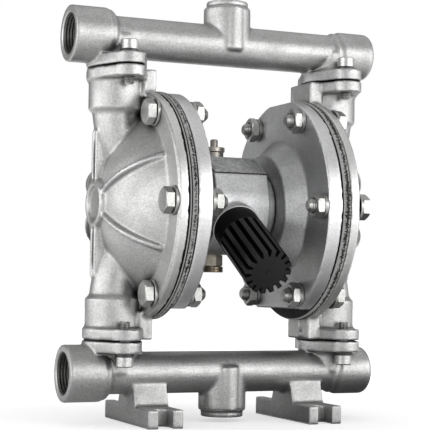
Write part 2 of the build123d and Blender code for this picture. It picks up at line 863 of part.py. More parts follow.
with BuildPart() as chamber_nuts:
    with BuildSketch(stack_plane(nut_seat_x)):
        with bolt_ring():
            hexagon(hex_across, flat_forward)
            Circle(bolt_r + part_gap, mode=Mode.SUBTRACT)
    extrude(amount=-chamber_nut_height)
    mirror(about=Plane.YZ)
save(chamber_nuts.part, "chamber_nuts")

# Flange screws: socket heads on the manifold side, tapped into the cover's flange
screw_seat_rise = seam_rise + gasket_thick / 2 + flange_thick
screw_head_rise = screw_seat_rise + spring_washer_thick
screw_end_rise = seam_rise - gasket_thick / 2 - flange_thick - screw_protrusion


def screw_grid():
    return GridLocations(2 * column_x, 2 * flange_screw_y, 2, 2)


with BuildPart() as flange_screws:
    with BuildSketch(mid_plane.offset(screw_end_rise)):
        with screw_grid():
            Circle(screw_r)
    extrude(amount=screw_head_rise - screw_end_rise)
    with BuildSketch(mid_plane.offset(screw_head_rise)):
        with screw_grid():
            Circle(screw_head_r)
    extrude(amount=screw_head_height)
    with BuildSketch(mid_plane.offset(screw_head_rise + screw_head_height)):
        with screw_grid():
            hexagon(screw_socket_across)
    extrude(amount=-screw_socket_depth, mode=Mode.SUBTRACT)
    mirror(about=mid_plane)
save(flange_screws.part, "flange_screws")

with BuildPart() as spring_washers:
    with BuildSketch(mid_plane.offset(screw_seat_rise)):
        with screw_grid():
            Circle(spring_washer_r)
            Circle(screw_r + part_gap, mode=Mode.SUBTRACT)
    extrude(amount=spring_washer_thick)
    mirror(about=mid_plane)
save(spring_washers.part, "spring_washers")

with BuildPart() as flange_gaskets:
    with BuildSketch(mid_plane.offset(seam_rise - gasket_thick / 2)):
        with GridLocations(2 * column_x, 0, 2, 1):
            Circle(gasket_r)
            Circle(valve_bore_r, mode=Mode.SUBTRACT)
    extrude(amount=gasket_thick)
    mirror(about=mid_plane)
save(flange_gaskets.part, "flange_gaskets")

# Ball valves: a seat ring and a loose ball in each port column
ball_over_seat = sqrt(ball_r * ball_r - seat_bore_r * seat_bore_r)
outlet_seat_z = shaft_z + column_floor_rise
seat_places = {
    "outlet_left": (-column_x, outlet_seat_z),
    "outlet_right": (column_x, outlet_seat_z),
    "inlet_left": (-column_x, inlet_seat_z),
    "inlet_right": (column_x, inlet_seat_z),
}
with BuildPart() as valve_seats:
    for place_x, place_z in seat_places.values():
        with BuildSketch(level_plane(place_x, 0, place_z)):
            Circle(valve_bore_r - seat_gap)
            Circle(seat_bore_r, mode=Mode.SUBTRACT)
        extrude(amount=seat_height)
save(valve_seats.part, "valve_seats")

for place, (place_x, place_z) in seat_places.items():
    with BuildPart() as valve_ball:
        with Locations((place_x, 0, place_z + seat_height + ball_over_seat)):
            Sphere(ball_r)
    save(valve_ball.part, f"{place}_ball")

# Air valve: a sleeve and spool behind the shaft, a cap with a reset stem, a plug below
sleeve_bottom_z = valve_bottom_z + sleeve_end
sleeve_top_z = valve_top_z - sleeve_end
with BuildPart() as valve_sleeve:
    with BuildSketch(level_plane(valve_x, valve_y, sleeve_bottom_z)):
        Circle(valve_bore - part_gap)
        Circle(spool_r + spool_running, mode=Mode.SUBTRACT)
    extrude(amount=sleeve_top_z - sleeve_bottom_z)
save(valve_sleeve.part, "valve_sleeve")

spool_bottom_z = (sleeve_bottom_z + stem_bottom_z) / 2 - spool_length / 2
with BuildPart() as valve_spool:
    with BuildSketch(level_plane(valve_x, valve_y, spool_bottom_z)):
        Circle(spool_waist_r)
    extrude(amount=spool_length)
    land_pitch = (spool_length - spool_land_length) / (spool_lands - 1)
    for land in range(spool_lands):
        with BuildSketch(level_plane(valve_x, valve_y, spool_bottom_z + land * land_pitch)):
            Circle(spool_r)
        extrude(amount=spool_land_length)
save(valve_spool.part, "valve_spool")

with BuildPart() as valve_cap:
    with BuildSketch(level_plane(valve_x, valve_y, sleeve_top_z)):
        Circle(cap_stub_r)
    extrude(amount=sleeve_end)
    with BuildSketch(level_plane(valve_x, valve_y, valve_top_z)):
        Circle(cap_r)
    extrude(amount=cap_height)
    with BuildSketch(level_plane(valve_x, valve_y, valve_top_z + cap_height)):
        Circle(cap_flange_r)
    extrude(amount=cap_flange_height)
    with BuildSketch(level_plane(valve_x, valve_y, sleeve_top_z)):
        Circle(stem_r + spool_running)
    extrude(amount=sleeve_end + cap_height + cap_flange_height, mode=Mode.SUBTRACT)
save(valve_cap.part, "valve_cap")

with BuildPart() as reset_stem:
    with BuildSketch(level_plane(valve_x, valve_y, stem_bottom_z)):
        Circle(stem_r)
    extrude(amount=stem_top_z - stem_bottom_z)
    fillet(faces().sort_by(Axis.Z)[-1].edges(), stem_round)
    # Collar that keeps the stem below the cap
    with BuildSketch(level_plane(valve_x, valve_y, sleeve_top_z - stem_play)):
        Circle(stem_collar_r)
    extrude(amount=-stem_collar_height)
save(reset_stem.part, "reset_stem")

with BuildPart() as valve_plug:
    with BuildSketch(level_plane(valve_x, valve_y, valve_bottom_z)):
        Circle(cap_stub_r)
    extrude(amount=sleeve_end)
    with BuildSketch(level_plane(valve_x, valve_y, valve_bottom_z)):
        hexagon(plug_across)
    extrude(amount=-plug_height)
    with BuildSketch(level_plane(valve_x, valve_y, valve_bottom_z - plug_height)):
        Circle(plug_ring_r)
    extrude(amount=-plug_ring_height)
save(valve_plug.part, "valve_plug")
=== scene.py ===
import bpy
import bmesh
from math import atan2, cos, hypot, pi, radians, sin
from mathutils import Matrix, Vector


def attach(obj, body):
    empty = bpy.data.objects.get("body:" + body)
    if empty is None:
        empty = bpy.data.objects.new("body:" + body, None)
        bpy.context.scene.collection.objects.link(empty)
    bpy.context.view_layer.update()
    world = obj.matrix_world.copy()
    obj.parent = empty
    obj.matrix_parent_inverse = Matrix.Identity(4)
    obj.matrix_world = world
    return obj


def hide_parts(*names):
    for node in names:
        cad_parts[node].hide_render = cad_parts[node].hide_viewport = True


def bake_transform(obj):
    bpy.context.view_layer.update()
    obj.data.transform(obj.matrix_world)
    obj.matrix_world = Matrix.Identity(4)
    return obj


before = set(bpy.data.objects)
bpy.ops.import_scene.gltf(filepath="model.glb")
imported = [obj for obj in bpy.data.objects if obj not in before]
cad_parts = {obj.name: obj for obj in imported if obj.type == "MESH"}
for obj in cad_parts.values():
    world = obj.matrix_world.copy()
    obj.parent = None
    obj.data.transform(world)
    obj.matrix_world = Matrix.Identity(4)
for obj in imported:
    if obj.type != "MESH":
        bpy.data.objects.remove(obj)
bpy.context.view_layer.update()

# Camera: a long lens from the front left, almost level with the lower manifold,
# so that the pump's upright pipes stay nearly parallel, as in the photograph.
bpy.ops.object.camera_add()
camera = bpy.context.object
camera.name = "camera"
camera.data.lens = 118.6
camera.data.sensor_width = 36.0
camera.data.clip_start = 0.05
camera_turn = radians(-23.52)
camera_pitch = radians(92.66)
camera_roll = radians(0.80)
camera.matrix_world = (
    Matrix.Translation((-0.34191, -0.77163, 0.08260))
    @ Matrix.Rotation(camera_turn, 4, "Z")
    @ Matrix.Rotation(camera_pitch, 4, "X")
    @ Matrix.Rotation(camera_roll, 4, "Z")
)
bpy.context.scene.camera = camera
bpy.context.scene.view_settings.view_transform = "Standard"

# Floor and studio: a pale seamless floor that runs to white, large soft lamps at both
# sides and above, and grey cards that only metal sees, for depth in its reflections; the floor card
# carries a painted shadow.
def maths(tree, kind, first, second, third=None):
    # One step of arithmetic between sockets or numbers
    step = tree.nodes.new("ShaderNodeMath")
    step.operation = kind
    for slot_number, value in enumerate((first, second, third)):
        if hasattr(value, "is_output"):
            tree.links.new(value, step.inputs[slot_number])
        elif value is not None:
            step.inputs[slot_number].default_value = value
    return step.outputs[0]


def map_range(tree, value, old_span, new_span):
    # Changes the scale from the old span to the new one, and holds it at the ends
    scale = tree.nodes.new("ShaderNodeMapRange")
    scale.inputs["From Min"].default_value, scale.inputs["From Max"].default_value = old_span
    scale.inputs["To Min"].default_value, scale.inputs["To Max"].default_value = new_span
    tree.links.new(value, scale.inputs["Value"])
    return scale.outputs["Result"]


def distance_out(tree):
    # How far a point lies from its object's origin
    spot = tree.nodes.new("ShaderNodeTexCoord")
    reach = tree.nodes.new("ShaderNodeVectorMath")
    reach.operation = "LENGTH"
    tree.links.new(spot.outputs["Object"], reach.inputs[0])
    return reach.outputs["Value"]


def direct_rays(tree):
    # One for a ray from the camera, off a shiny surface or through a clear one
    rays = tree.nodes.new("ShaderNodeLightPath")
    seen = maths(tree, "MAXIMUM", rays.outputs["Is Camera Ray"], rays.outputs["Is Glossy Ray"])
    return maths(tree, "MAXIMUM", seen, rays.outputs["Is Transmission Ray"])


bpy.ops.mesh.primitive_plane_add(size=6.0, location=(0, 0, 0))
floor = bpy.context.object
floor.name = "floor"
floor_paint = bpy.data.materials.new("floor_paint")
floor_paint.use_nodes = True
tree = floor_paint.node_tree
tree.nodes.clear()
floor_out = tree.nodes.new("ShaderNodeOutputMaterial")
floor_diffuse = tree.nodes.new("ShaderNodeBsdfDiffuse")
floor_diffuse.inputs["Color"].default_value = (0.80, 0.80, 0.80, 1)
floor_glow = tree.nodes.new("ShaderNodeEmission")
floor_white = map_range(tree, distance_out(tree), (0.08, 0.7), (0.55, 1.0))
floor_level = maths(tree, "MULTIPLY", direct_rays(tree), floor_white)
floor_both = tree.nodes.new("ShaderNodeAddShader")
tree.links.new(floor_level, floor_glow.inputs["Strength"])
tree.links.new(floor_diffuse.outputs[0], floor_both.inputs[0])
tree.links.new(floor_glow.outputs[0], floor_both.inputs[1])
tree.links.new(floor_both.outputs[0], floor_out.inputs["Surface"])
floor.data.materials.append(floor_paint)

studio = bpy.data.worlds.new("studio")
bpy.context.scene.world = studio
studio.use_nodes = True
tree = studio.node_tree
tree.nodes.clear()
sky_out = tree.nodes.new("ShaderNodeOutputWorld")
sky_fill = tree.nodes.new("ShaderNodeBackground")
sky_fill.inputs["Strength"].default_value = 0.35
sky_seen = tree.nodes.new("ShaderNodeBackground")
sky_seen.inputs["Color"].default_value = (1, 1, 1, 1)
sky_seen.inputs["Strength"].default_value = 1.0
sky_mix = tree.nodes.new("ShaderNodeMixShader")
tree.links.new(direct_rays(tree), sky_mix.inputs["Fac"])
tree.links.new(sky_fill.outputs[0], sky_mix.inputs[1])
tree.links.new(sky_seen.outputs[0], sky_mix.inputs[2])
tree.links.new(sky_mix.outputs[0], sky_out.inputs["Surface"])


def soft_lamp(name, place, aim, size, power):
    bpy.ops.object.light_add(type="AREA", location=place)
    lamp = bpy.context.object
    lamp.name = name
    lamp.data.shape = "RECTANGLE"
    lamp.data.size, lamp.data.size_y = size
    lamp.data.energy = power
    lamp.rotation_euler = (Vector(aim) - Vector(place)).to_track_quat("-Z", "Y").to_euler()


def grey_card(name, place, aim, size, grey, rim_grey=None, reach=(0.0, 1.0)):
    # Seen by reflections alone: it lights nothing, shades nothing and is in no view
    bpy.ops.mesh.primitive_plane_add(size=1.0, location=place)
    card = bpy.context.object
    card.name = name
    card.scale = (size[0], size[1], 1)
    bpy.ops.object.transform_apply(location=False, rotation=False, scale=True)
    card.rotation_euler = (Vector(aim) - Vector(place)).to_track_quat("Z", "Y").to_euler()
    card.visible_camera = False
    card.visible_diffuse = False
    card.visible_shadow = False
    card.visible_transmission = False
    paint = bpy.data.materials.new(name)
    paint.use_nodes = True
    card_tree = paint.node_tree
    card_tree.nodes.clear()
    glow = card_tree.nodes.new("ShaderNodeEmission")
    glow.inputs["Strength"].default_value = grey
    if rim_grey is not None:
        # Painted shadow: grows paler from its middle outwards, as a floor does away from what shades it
        level = map_range(card_tree, distance_out(card_tree), reach, (grey, rim_grey))
        card_tree.links.new(level, glow.inputs["Strength"])
    out = card_tree.nodes.new("ShaderNodeOutputMaterial")
    card_tree.links.new(glow.outputs[0], out.inputs["Surface"])
    card.data.materials.append(paint)


pump_middle = (0, 0, 0.126)
soft_lamp("left_lamp", (-1.30, -0.12, 0.36), pump_middle, (2.0, 1.0), 7.8)
soft_lamp("right_lamp", (0.80, -1.10, 0.34), pump_middle, (2.0, 1.0), 10.0)
soft_lamp("top_lamp", (0.1, 0.0, 1.4), pump_middle, (2.0, 2.0), 4.6)
# Painted shadow: the floor card is near-black under and behind the pump and pale further out
grey_card("floor_shadow_card", (0.08, 0.12, 0.0006), (0.08, 0.12, 1), (3.6, 3.6), 0.06, 0.95, (0.14, 0.38))
grey_card("sky_card", (0, 0, 1.7), (0, 0, 0), (7.0, 7.0), 0.30)
grey_card("back_card", (0.9, 2.0, 0.8), (0, 0, 0.8), (6.0, 1.9), 0.34)
grey_card("back_left_card", (-0.62, 1.40, 0.4), (0, 0, 0.3), (0.8, 1.2), 0.14)
grey_card("front_card", (-0.62, -1.42, 0.4), (0, 0, 0.3), (0.75, 1.1), 0.75)


# Cast stainless steel: manifolds and fluid covers are investment castings, blasted
# with beads, so they are pale, fine-grained and a little mottled by the skin.
def noise(tree, scale, detail, rough):
    # Cloudy noise that stays with the object
    place = tree.nodes.new("ShaderNodeTexCoord")
    cloud = tree.nodes.new("ShaderNodeTexNoise")
    cloud.inputs["Scale"].default_value = scale
    cloud.inputs["Detail"].default_value = detail
    cloud.inputs["Roughness"].default_value = rough
    tree.links.new(place.outputs["Object"], cloud.inputs["Vector"])
    return cloud.outputs["Fac"]


def metal_finish(name, colour, rough, mottle, grain_scale, grain_depth, painted_shade_depth, metallic=1.0):
    # Mottled and grained skin, with painted shade: darker in creases, found by pointiness, and in
    # recesses, seams and round heads, found by ambient occlusion
    finish = bpy.data.materials.new(name)
    finish.use_nodes = True
    finish_tree = finish.node_tree
    nodes, links = finish_tree.nodes, finish_tree.links
    shader = nodes["Principled BSDF"]
    shader.inputs["Metallic"].default_value = metallic
    cloud = noise(finish_tree, 70.0, 5.0, 0.6)
    grain = noise(finish_tree, grain_scale, 3.0, 0.65)
    tone = map_range(finish_tree, cloud, (0.3, 0.7), (1.0 - mottle, 1.0 + mottle / 2))
    speck = map_range(finish_tree, grain, (0.32, 0.6), (1.0 - 2 * mottle, 1.0))
    shape = nodes.new("ShaderNodeNewGeometry")
    pointed = shape.outputs["Pointiness"]
    # Painted shade: concave creases, found by pointiness, are darkened
    hollow = map_range(finish_tree, pointed, (0.42, 0.52), (1.0 - painted_shade_depth, 1.0))
    # Painted shade: ambient occlusion darkens recesses, seams and the metal round heads and nuts
    shade_occlusion = nodes.new("ShaderNodeAmbientOcclusion")
    shade_occlusion.samples = 4
    shade_occlusion.inputs["Distance"].default_value = 0.007
    recess_painted_shade = map_range(finish_tree, shade_occlusion.outputs["AO"], (0.25, 0.75), (1.0 - 1.3 * painted_shade_depth, 1.0))
    skin_tone = maths(finish_tree, "MULTIPLY", tone, speck)
    painted_shade_tone = maths(finish_tree, "MULTIPLY", hollow, recess_painted_shade)
    paint = nodes.new("ShaderNodeVectorMath")
    paint.operation = "SCALE"
    paint.inputs[0].default_value = colour
    links.new(maths(finish_tree, "MULTIPLY", skin_tone, painted_shade_tone), paint.inputs["Scale"])
    links.new(paint.outputs["Vector"], shader.inputs["Base Color"])
    matt = map_range(finish_tree, cloud, (0.3, 0.7), (rough + 0.07, rough - 0.05))
    links.new(matt, shader.inputs["Roughness"])
    bump = nodes.new("ShaderNodeBump")
    bump.inputs["Strength"].default_value = 0.6
    bump.inputs["Distance"].default_value = grain_depth
    links.new(grain, bump.inputs["Height"])
    links.new(bump.outputs["Normal"], shader.inputs["Normal"])
    return finish


def select_only(*pieces):
    bpy.ops.object.select_all(action="DESELECT")
    for piece in pieces:
        piece.select_set(True)
    bpy.context.view_layer.objects.active = pieces[0]


def keep_modifier(piece, kind, **settings):
    # Adds a modifier with these settings and makes its result the piece's own mesh
    select_only(piece)
    modifier = piece.modifiers.new(kind.lower(), kind)
    for setting, value in settings.items():
        setattr(modifier, setting, value)
    bpy.ops.object.modifier_apply(modifier=modifier.name)


def smooth_faces(piece, angle):
    select_only(piece)
    bpy.ops.object.shade_smooth_by_angle(angle=radians(angle))


def fit_piece(piece, finish, slot, *nodes, body="pump_body"):
    # Paints the piece, puts it on its body and lets it stand for its solids
    piece.data.materials.clear()
    piece.data.materials.append(finish)
    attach(piece, body)
    if nodes:
        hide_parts(*nodes)


def stood_at(place, axis):
    # Takes a shape that stands on the origin to this place, along this axis
    lean = Vector((0, 0, 1)).rotation_difference(Vector(axis)).to_matrix().to_4x4()
    return Matrix.Translation(place) @ lean


def corner_fill(place, axis, wide, narrow, height):
    # Cone of metal in the corner where a round neck stands on a face
    bpy.ops.object.select_all(action="DESELECT")
    bpy.ops.mesh.primitive_cone_add(vertices=72, radius1=wide, radius2=narrow, depth=height)
    fill = bpy.context.object
    fill.data.transform(stood_at(place, axis) @ Matrix.Translation((0, 0, height / 2)))
    return fill


def mark_hollow_corners(piece, rings):
    # Weights the vertices along inner corners, where molten metal leaves a fillet
    shape = bmesh.new()
    shape.from_mesh(piece.data)
    shape.verts.ensure_lookup_table()
    found = set()
    hollow_angle = -0.3
    for edge in shape.edges:
        if edge.is_manifold and edge.calc_face_angle_signed() < hollow_angle:
            found.update(corner.index for corner in edge.verts)
    for _ in range(rings):
        grown = set()
        for index in found:
            for edge in shape.verts[index].link_edges:
                grown.add(edge.other_vert(shape.verts[index]).index)
        found |= grown
    shape.free()
    piece.vertex_groups.new(name="hollow").add(sorted(found), 1.0, "REPLACE")


def edit_copy(node, name):
    # A mesh of its own from the node's solid, its faces joined, left in edit mode
    piece = bpy.data.objects.new(name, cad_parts[node].data.copy())
    bpy.context.scene.collection.objects.link(piece)
    select_only(piece)
    bpy.ops.object.mode_set(mode="EDIT")
    bpy.ops.mesh.select_all(action="SELECT")
    bpy.ops.mesh.remove_doubles(threshold=0.000002)
    return piece


def cast_copy(node, name, voxel, rounds, crisp, fills=(), share=1.0):
    # The casting's solid with fillets in its inner corners and its edges worn round
    piece = edit_copy(node, name)
    bpy.ops.object.mode_set(mode="OBJECT")
    if fills:
        select_only(piece, *fills)
        bpy.ops.object.join()
    keep_modifier(piece, "REMESH", mode="VOXEL", voxel_size=voxel)
    mark_hollow_corners(piece, 3)
    keep_modifier(piece, "SMOOTH", factor=0.5, iterations=rounds[1], vertex_group="hollow")
    skin = piece.vertex_groups.new(name="skin")
    skin.add([v.index for v in piece.data.vertices if not crisp(v.co)], 1.0, "REPLACE")
    keep_modifier(piece, "SMOOTH", factor=0.5, iterations=rounds[0], vertex_group="skin")
    keep_modifier(piece, "SMOOTH", factor=0.5, iterations=1)
    piece.vertex_groups.clear()
    if share < 1.0:
        keep_modifier(piece, "DECIMATE", ratio=share)
    select_only(piece)
    bpy.ops.object.shade_smooth()
    return piece


cast_stainless = metal_finish(
    "cast_stainless", (0.65, 0.65, 0.645), 0.40, 0.14, 950.0, 0.00032, 0.6
)
manifold_axes = {"outlet": 0.223, "inlet": 0.029}
column_x = 0.0695
port_face_x = -0.099
seam_rise, seam_band = 0.078, 0.0012
shaft_z = 0.126
for manifold, axis_z in manifold_axes.items():
    away = 1 if manifold == "outlet" else -1
    flange_back_z = axis_z - away * 0.0121
    fills = [
        corner_fill((side * column_x, 0, flange_back_z), (0, 0, away), 0.0150, 0.0132, 0.0022)
        for side in (-1, 1)
    ]
    fills.append(corner_fill((-0.0752, 0, axis_z), (1, 0, 0), 0.0158, 0.0122, 0.0034))
    fills.append(corner_fill((0.0707, 0, axis_z), (-1, 0, 0), 0.0140, 0.0122, 0.0030))
    pad_end = (0, -0.0084, axis_z - away * 0.0041)
    fills.append(corner_fill(pad_end, (0, 0, away), 0.0054, 0.0067, 0.0014))
    pad_shank = (0, -0.0084, axis_z - away * 0.0028)
    fills.append(corner_fill(pad_shank, (0, 0, away), 0.0067, 0.0067, 0.0248))

    def machined(place):
        # The port end, the boss ring and the flanges' faces are turned, so they stay crisp
        on_seam = abs(place.z - shaft_z - away * seam_rise) < seam_band
        return place.x < port_face_x + 0.002 or away * (place.z - axis_z) > 0.0222 or on_seam

    casting = cast_copy(
        f"{manifold}_manifold", f"{manifold}_manifold_casting", 0.0006, (4, 12), machined, fills, 0.6
    )
    fit_piece(casting, cast_stainless, "cast_stainless", f"{manifold}_manifold")


# Port mouths and boss rings: the machined places of the manifolds, faced and
# threaded on a lathe, so brighter and sharper than the cast skin round them.
def turned(name, profile, place, axis, steps=96, closed=True):
    # Round piece: its half section, as (along, radius) points, is spun about its axis
    count = len(profile)
    edges = [(i, i + 1) for i in range(count - 1)]
    if closed:
        edges.append((count - 1, 0))
    mesh = bpy.data.meshes.new(name)
    mesh.from_pydata([(radius, 0, along) for along, radius in profile], edges, [])
    piece = bpy.data.objects.new(name, mesh)
    bpy.context.scene.collection.objects.link(piece)
    select_only(piece)
    bpy.ops.object.mode_set(mode="EDIT")
    bpy.ops.mesh.select_all(action="SELECT")
    bpy.ops.mesh.spin(steps=steps, angle=2 * pi, center=(0, 0, 0), axis=(0, 0, 1))
    bpy.ops.mesh.select_all(action="SELECT")
    bpy.ops.mesh.remove_doubles(threshold=0.000001)
    bpy.ops.mesh.normals_make_consistent(inside=False)
    bpy.ops.object.mode_set(mode="OBJECT")
    piece.data.transform(stood_at(place, axis))
    smooth_faces(piece, 30)
    return piece


def thread_profile(start, end, crest, root, pitch):
    points = []
    turns = round((end - start) / pitch)
    for turn in range(turns):
        points += [(start + turn * pitch, root), (start + (turn + 0.5) * pitch, crest)]
    points.append((start + turns * pitch, root))
    return points


faced_stainless = metal_finish(
    "faced_stainless", (0.60, 0.60, 0.595), 0.42, 0.12, 900.0, 0.0002, 0.2
)
# Painted shade: the port threads are near-black, for the shade inside the bore
thread_painted_shade = metal_finish(
    "cut_thread_painted_shade", (0.13, 0.13, 0.125), 0.5, 0.25, 900.0, 0.0002, 0.3
)
for manifold, axis_z in manifold_axes.items():
    mouth = turned(
        f"{manifold}_port_mouth",
        [(0.0006, 0.01206), (0.0001, 0.0125), (0.0000, 0.0127), (0.0000, 0.0154),
         (0.0001, 0.0158), (0.0003, 0.0161), (0.0007, 0.0163), (0.0013, 0.01643),
         (0.0024, 0.01643), (0.0034, 0.0162), (0.0034, 0.01206)],
        (port_face_x, 0, axis_z), (1, 0, 0), steps=128,
    )
    fit_piece(mouth, faced_stainless, "cast_stainless")
    thread = turned(
        f"{manifold}_port_thread",
        [(0.0007, 0.0122)] + thread_profile(0.0009, 0.0171, 0.0113, 0.01205, 0.0018)
        + [(0.0176, 0.0122)],
        (port_face_x, 0, axis_z), (1, 0, 0), steps=128,
    )
    fit_piece(thread, thread_painted_shade, "cast_stainless")
    away = 1 if manifold == "outlet" else -1
    ring = turned(
        f"{manifold}_boss_ring",
        [(0.0, 0.0), (0.0, 0.0136), (0.0003, 0.01385), (0.0006, 0.0136), (0.0007, 0.0116),
         (0.0013, 0.0116), (0.0014, 0.0122), (0.0018, 0.0124), (0.0037, 0.0124),
         (0.0043, 0.0121), (0.0045, 0.0116), (0.0045, 0.0100), (0.0042, 0.0096), (0.0042, 0.0)],
        (0, 0, axis_z + away * 0.0217), (0, 0, away), closed=False,
    )
    fit_piece(ring, cast_stainless, "cast_stainless")

# Fluid covers: cast stainless domes that carry the port columns, with curved ridges
# and fins for stiffness. Six bolts hold each one and a diaphragm on an air chamber.
seat_x = 0.056
disc_r = 0.066
rim_stainless = metal_finish(
    "rim_stainless", (0.86, 0.86, 0.85), 0.38, 0.08, 900.0, 0.00012, 0.5
)


def turn_rim(piece, rim_finish):
    # The rim of the disc is turned bright on a lathe
    piece.data.materials.append(rim_finish)
    for face in piece.data.polygons:
        off_rim = hypot(face.center.y, face.center.z - shaft_z) - disc_r
        if abs(off_rim) < 0.0005 and abs(face.center.x) < seat_x - 0.0003:
            face.material_index = 1


for side, hand in ((-1, "left"), (1, "right")):

    def machined(place):
        # The clamping rim and the flanges' faces are turned after casting
        on_rim = side * place.x < seat_x - 0.0008 and hypot(place.y, place.z - shaft_z) < 0.0665
        return on_rim or abs(place.z - shaft_z) > seam_rise - seam_band

    cover = cast_copy(
        f"fluid_cover_{hand}", f"fluid_cover_{hand}_casting", 0.0007, (2, 12), machined, (), 0.6
    )
    fit_piece(cover, cast_stainless, "cast_stainless", f"fluid_cover_{hand}")
    turn_rim(cover, rim_stainless)

# Air chambers: sand-cast aluminium, blasted to a bluer matt grey than the stainless
# steel. Each is clamped to the centre body, and its rim is turned bright.
cast_aluminium = metal_finish(
    "cast_aluminium", (0.68, 0.683, 0.69), 0.42, 0.13, 900.0, 0.0003, 0.5
)
rim_aluminium = metal_finish(
    "rim_aluminium", (0.90, 0.90, 0.905), 0.38, 0.08, 900.0, 0.00012, 0.5
)
for side, hand in ((-1, "left"), (1, "right")):

    def machined(place):
        # The clamping rim, outside the bolts' inner edge, is turned after casting
        return hypot(place.y, place.z - shaft_z) > 0.062

    chamber = cast_copy(
        f"air_chamber_{hand}", f"air_chamber_{hand}_casting", 0.0007, (4, 16), machined, (), 0.6
    )
    fit_piece(chamber, cast_aluminium, "cast_aluminium", f"air_chamber_{hand}")
    turn_rim(chamber, rim_aluminium)

# Centre body: one block of the same cast aluminium, which joins the two chambers. Below
# the label pad it runs straight down to its round front.
def slab(name, size):
    bpy.ops.object.select_all(action="DESELECT")
    bpy.ops.mesh.primitive_cube_add(size=1.0)
    box = bpy.context.object
    box.name = name
    box.scale = size
    bpy.ops.object.transform_apply(location=True, rotation=True, scale=True)
    return box


pad_edge = Vector((0, -0.0232, shaft_z + 0.0192))
round_front = Vector((0, -0.0266, shaft_z + 0.0087))
drop_way = (round_front - pad_edge).normalized()
skirt_depth = 0.0040
pad_skirt = slab("pad_skirt", (0.034, skirt_depth, 0.0112))
skirt_lean = Matrix.Rotation(atan2(drop_way.y, -drop_way.z), 4, "X")
inward = skirt_lean @ Vector((0, 1, 0))
pad_skirt.data.transform(
    Matrix.Translation((pad_edge + round_front) / 2 + inward * (skirt_depth / 2)) @ skirt_lean
)
centre = cast_copy(
    "center_body", "center_body_casting", 0.0006, (2, 10), lambda place: False, [pad_skirt]
)
fit_piece(centre, cast_aluminium, "cast_aluminium", "center_body")

# Label plate: a thin sheet on the sloped pad, bare but for a thin frame line that is
# pressed in along its edge and holds dark paint. A ragged dark bed under it, a little wider, is painted
# shadow round its edge.
label_sheet = metal_finish(
    "label_sheet", (0.60, 0.605, 0.61), 0.40, 0.22, 420.0, 0.00008, 0.1
)
frame_paint_and_painted_shadow = metal_finish("frame_paint_and_painted_shadow", (0.02, 0.02, 0.02), 0.5, 0.05, 800.0, 0.00003, 0.0, 0.0)
pad_slope = radians(60)
label = slab("label_sheet_plate", (0.033, 0.0198, 0.0007))
bpy.ops.object.mode_set(mode="EDIT")
bpy.ops.mesh.select_mode(type="FACE")
bpy.ops.mesh.select_all(action="DESELECT")
bpy.ops.object.mode_set(mode="OBJECT")
for face in label.data.polygons:
    face.select = face.normal.z > 0.9
bpy.ops.object.mode_set(mode="EDIT")
bpy.ops.mesh.inset(thickness=0.0011)
bpy.ops.mesh.inset(thickness=0.00045)
bpy.ops.object.mode_set(mode="OBJECT")
label.data.materials.append(label_sheet)
label.data.materials.append(frame_paint_and_painted_shadow)
groove = [
    face for face in label.data.polygons
    if face.normal.z > 0.9 and not face.select
    and max(abs(face.center.x) / 0.0165, abs(face.center.y) / 0.0095) < 0.95
]
for face in label.data.polygons:
    face.select = False
for face in groove:
    face.select = True
    face.material_index = 1
bpy.ops.object.mode_set(mode="EDIT")
bpy.ops.mesh.extrude_region_move(TRANSFORM_OT_translate={"value": (0, 0, -0.00012)})
bpy.ops.object.mode_set(mode="OBJECT")
keep_modifier(label, "BEVEL", width=0.00012, segments=2, limit_method="ANGLE")
tilt = Matrix.Rotation(pi / 2 - pad_slope, 4, "X")
on_pad = Matrix.Translation((0, 0, shaft_z)) @ tilt
label.data.transform(on_pad @ Matrix.Translation((0, 0, 0.02855)))
smooth_faces(label, 30)
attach(label, "pump_body")
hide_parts("label_plate")
# Painted shadow: a ragged dark sheet under the plate shows past its edge as a shadow line
shadow_bed = slab("label_shadow_bed", (0.0335, 0.0209, 0.00045))
bpy.ops.object.mode_set(mode="EDIT")
bpy.ops.mesh.select_all(action="SELECT")
bpy.ops.mesh.subdivide(number_cuts=31)
bpy.ops.transform.vertex_random(offset=0.00016, seed=7)
bpy.ops.object.mode_set(mode="OBJECT")
shadow_bed.data.transform(on_pad @ Matrix.Translation((0, 0, 0.02825)))
fit_piece(shadow_bed, frame_paint_and_painted_shadow, "black_plastic")

# Exhaust: a thin bright ring, then a moulded black muffler screwed into the boss,
# with a plain collar and sixteen deep fins that let the air out between them.
exhaust_tilt = radians(30.5)
exhaust_way = Vector((0, -cos(exhaust_tilt), -sin(exhaust_tilt)))
exhaust_root = Vector((-0.0044, 0, 0.1295))
bright_ring = metal_finish("bright_ring", (0.78, 0.78, 0.77), 0.18, 0.03, 900.0, 0.00003, 0.0)
ring = turned(
    "exhaust_ring_turned",
    [(0.0302, 0.0070), (0.0302, 0.0131), (0.0304, 0.0134), (0.0311, 0.0140), (0.0313, 0.0140),
     (0.0314, 0.0138), (0.0314, 0.0070)],
    exhaust_root, exhaust_way,
)
fit_piece(ring, bright_ring, "bright_ring", "exhaust_ring")
black_plastic = metal_finish(
    "black_plastic", (0.011, 0.011, 0.0115), 0.40, 0.10, 1400.0, 0.00006, 0.0, 0.0
)
